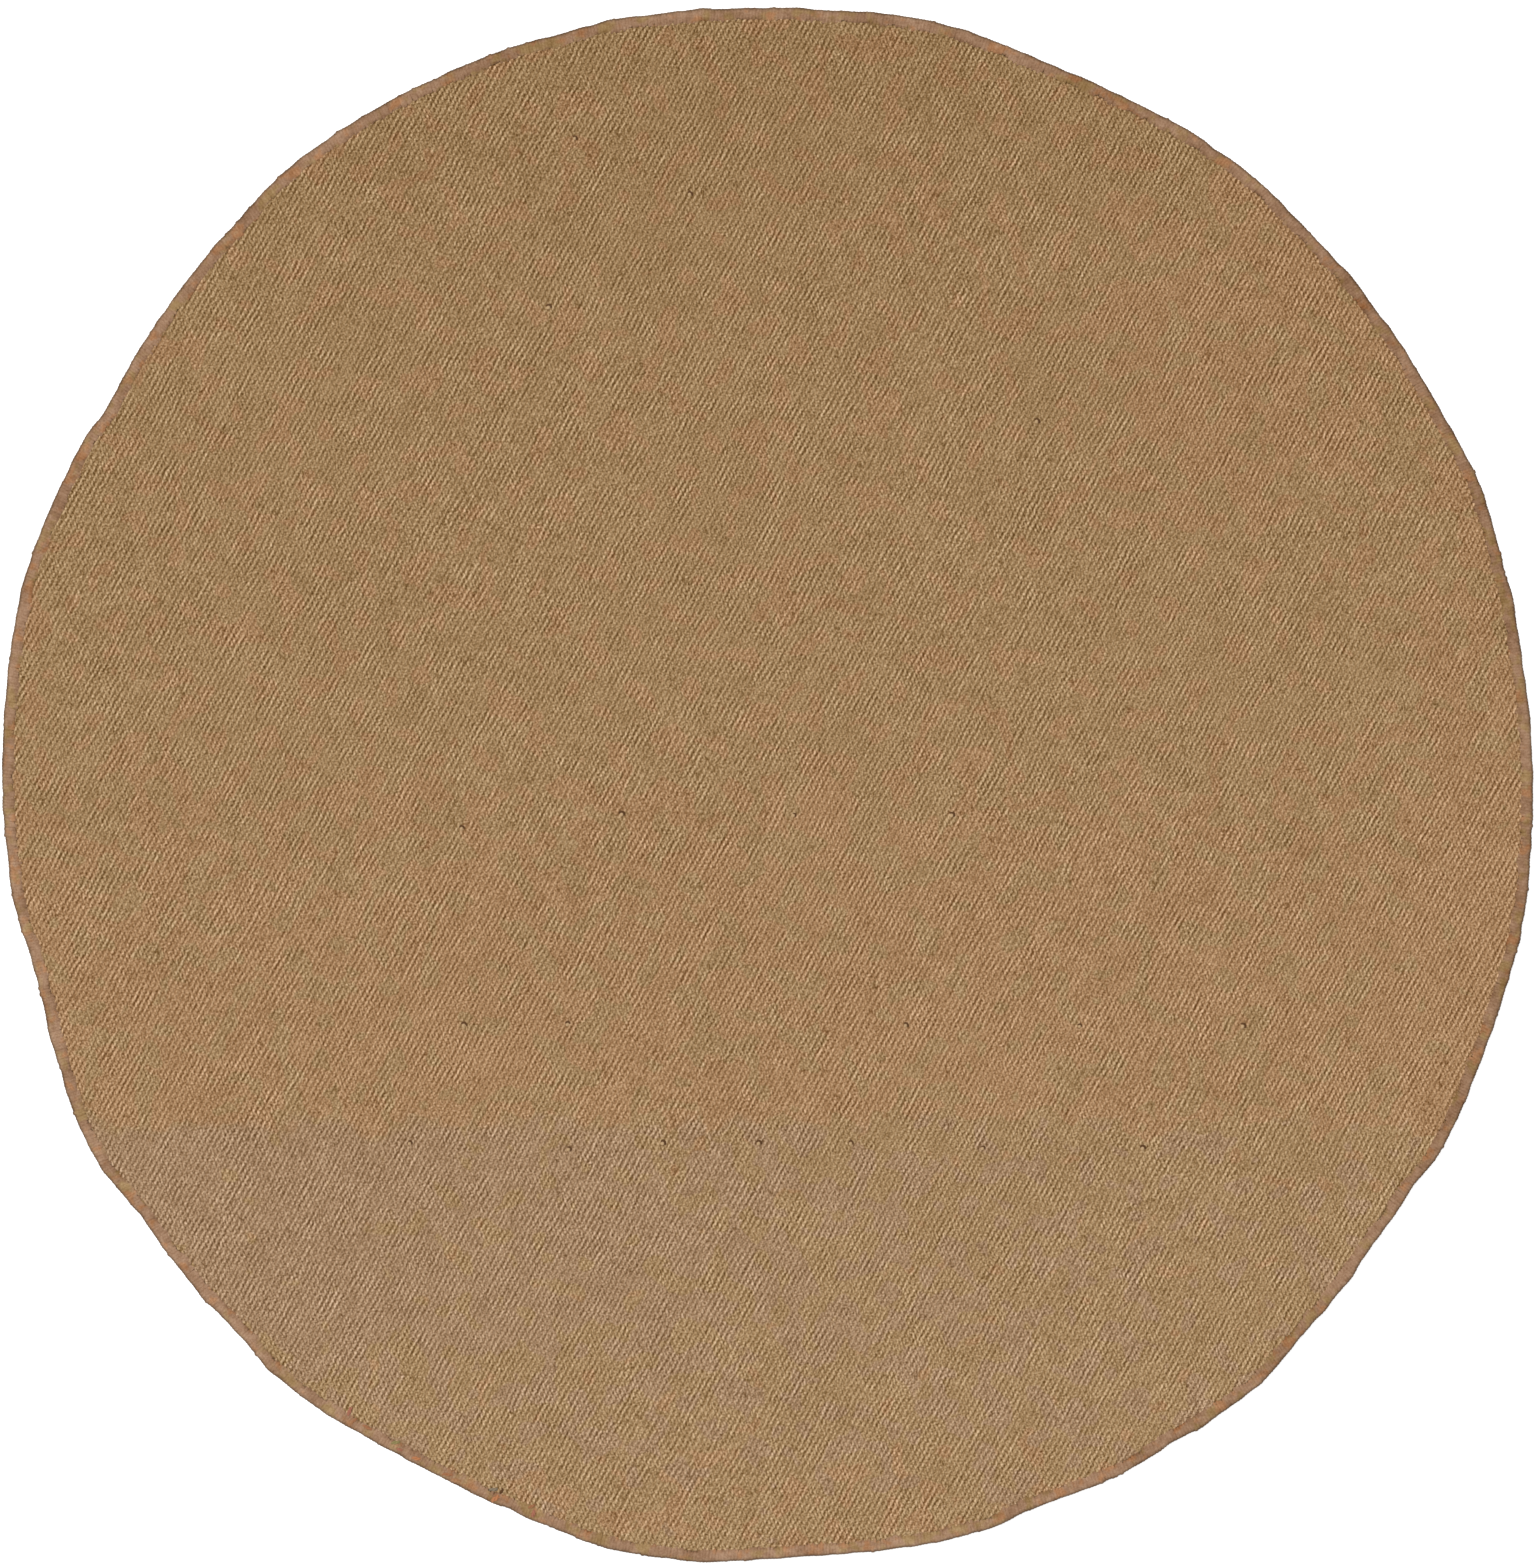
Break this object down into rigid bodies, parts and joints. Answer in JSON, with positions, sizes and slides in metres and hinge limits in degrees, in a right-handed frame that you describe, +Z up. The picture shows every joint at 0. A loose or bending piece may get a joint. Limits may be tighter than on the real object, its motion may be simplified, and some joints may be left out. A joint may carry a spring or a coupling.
{
  "type": "round jute rug",
  "caption": "Flat round rug of thick diagonal jute twill, its cut rim overcast with jute yarn, lying flat on a floor.",
  "frame": {"origin": "below the middle of the rug's box, on the floor it lies on", "axes": "+Z up out of the rug's face; +X to the right and +Y to the top of the rug as the picture shows it from above"},
  "size_m": [1.4892, 1.5118, 0.0064],
  "materials": {
    "jute_twill": "matte woven jute",
    "jute_yarn": "matte twisted jute yarn"
  },
  "bodies": {
    "root": {"woven_field": "jute_twill", "overcast_edge": "jute_yarn"}
  },
  "joints": []
}
